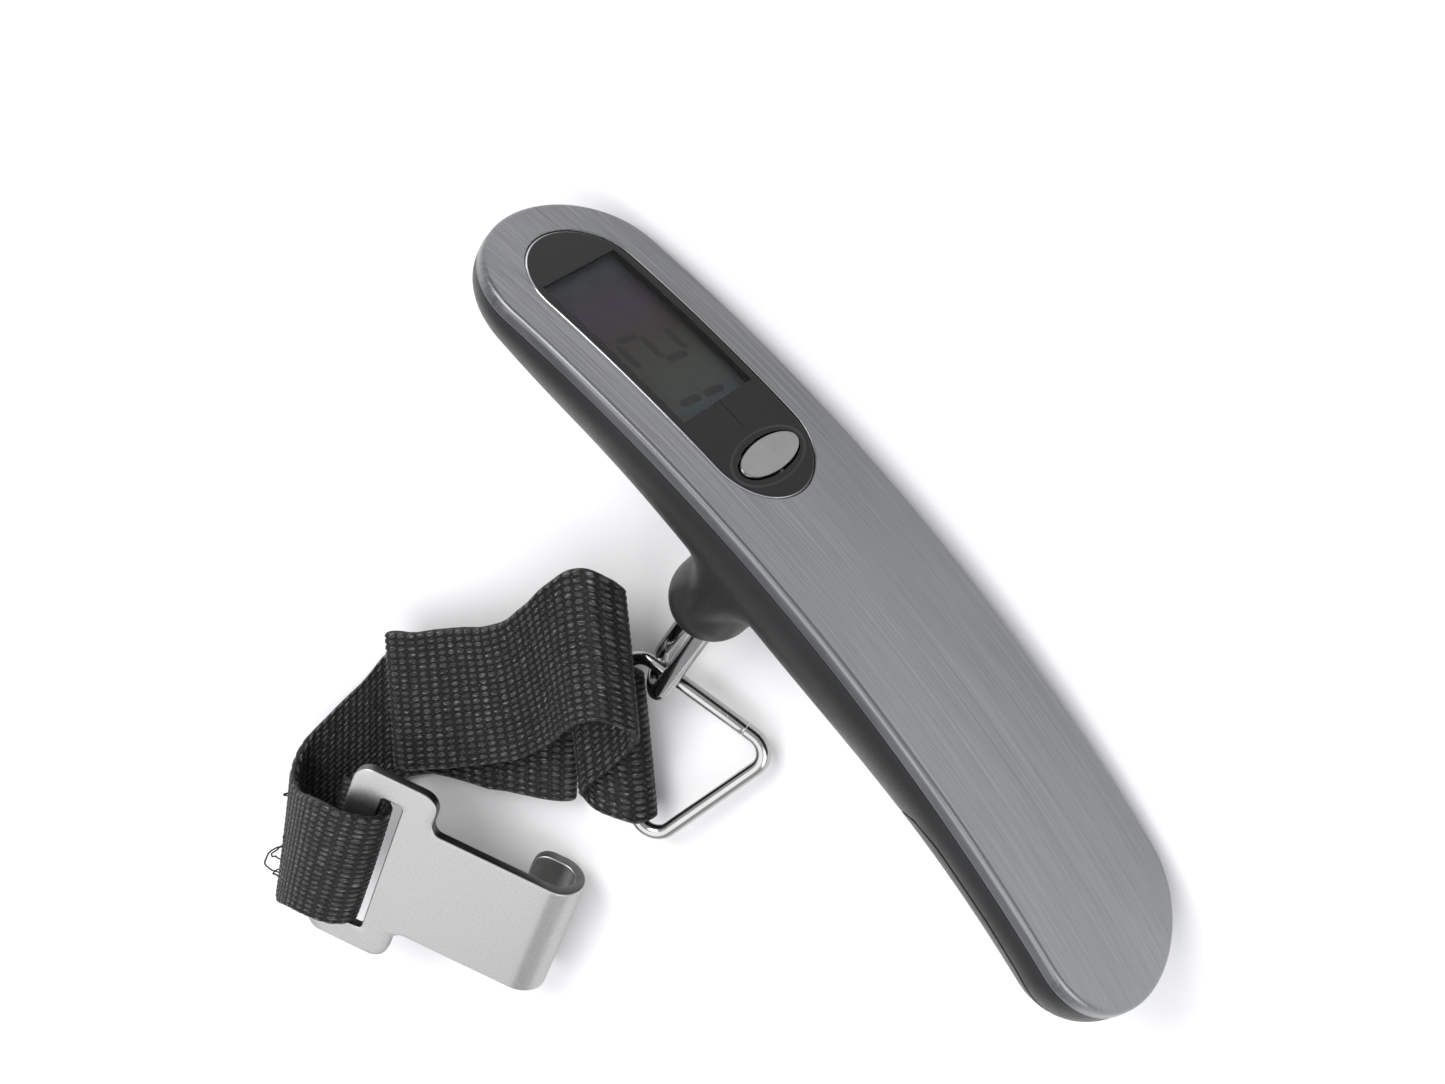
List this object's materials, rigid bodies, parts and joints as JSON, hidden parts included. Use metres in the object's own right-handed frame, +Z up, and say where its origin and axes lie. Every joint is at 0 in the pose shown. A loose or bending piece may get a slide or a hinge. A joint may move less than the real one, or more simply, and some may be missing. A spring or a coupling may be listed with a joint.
{
  "type": "luggage scale",
  "caption": "Hand-held digital luggage scale: arched handle with a display, a button and a weighing cell, and a swivel eye, ring, folded webbing strap and steel hook below it.",
  "frame": {"origin": "middle of the footprint on the table that the scale lies on", "axes": "+X along the handle towards the display end, +Y from the handle towards the hook along the table, +Z up from the table"},
  "size_m": [0.1436, 0.1398, 0.035],
  "materials": {
    "brushed_cover": "brushed along the handle",
    "black_plastic": "fine texture",
    "soft_black": "satin",
    "dark_lens": "clear and glossy, masked black round the display",
    "lcd_glass": "grey-green, unlit",
    "dark_rubber": "smooth",
    "board_green": "lacquered",
    "chip_black": "plain",
    "spring_steel": "plated",
    "silver_button": "silver paint",
    "cell_aluminium": "milled",
    "bright_chrome": "polished",
    "battery_jacket": "printed film",
    "black_webbing": "woven",
    "satin_steel": "satin with dark cut edges"
  },
  "bodies": {
    "handle": {"top_cover": "brushed_cover", "top_housing": "black_plastic", "lower_shell": "soft_black", "display_lens": "dark_lens", "lcd_panel": "lcd_glass", "zebra_strips": "dark_rubber", "circuit_board": "board_green", "board_chips": "chip_black", "tact_switch": "spring_steel", "load_cell": "cell_aluminium", "gauge_pads": "chip_black", "cell_screws": "spring_steel", "load_link": "spring_steel", "link_nut": "spring_steel", "battery_1": "battery_jacket", "battery_2": "battery_jacket", "battery_springs": "spring_steel", "battery_plates": "spring_steel", "housing_screws": "spring_steel", "sensor_leads": "chip_black"},
    "button": {"power_button": "silver_button"},
    "door": {"battery_door": "soft_black"},
    "eye": {"eye_loop": "bright_chrome", "eye_pin": "spring_steel"},
    "ring": {"triangle_ring": "bright_chrome"},
    "strap": {"strap": "black_webbing"},
    "hook": {"hook": "satin_steel"}
  },
  "joints": [
    {"name": "button_press", "type": "slide", "parent": "handle", "child": "button", "axis": [-0.073, 0.9633, -0.2581], "range_m": [0, 0.0003], "stiffness_N_per_m": 500},
    {"name": "door_lift", "type": "slide", "parent": "handle", "child": "door", "axis": [0, 0.9659, -0.2588], "range_m": [0, 0.006]},
    {"name": "eye_swing", "type": "hinge", "parent": "handle", "child": "eye", "pos_m": [0.011, -0.04191, 0.01323], "axis": [-0.5948, 0.2081, 0.7765], "range_deg": [0, 1.5]},
    {"name": "ring_lift", "type": "hinge", "parent": "eye", "child": "ring", "pos_m": [0.01618, -0.01674, 0.005], "axis": [0.9649, 0.2546, 0.0648], "range_deg": [0, 10]},
    {"name": "strap_lift", "type": "hinge", "parent": "ring", "child": "strap", "pos_m": [0.002, -0.00526, 0.005], "axis": [0.7771, -0.6293, 0], "range_deg": [0, 12]},
    {"name": "hook_lift", "type": "hinge", "parent": "strap", "child": "hook", "pos_m": [0.01841, 0.0438, 0.0175], "axis": [-0.3751, 0.9239, -0.0751], "range_deg": [0, 30]}
  ]
}
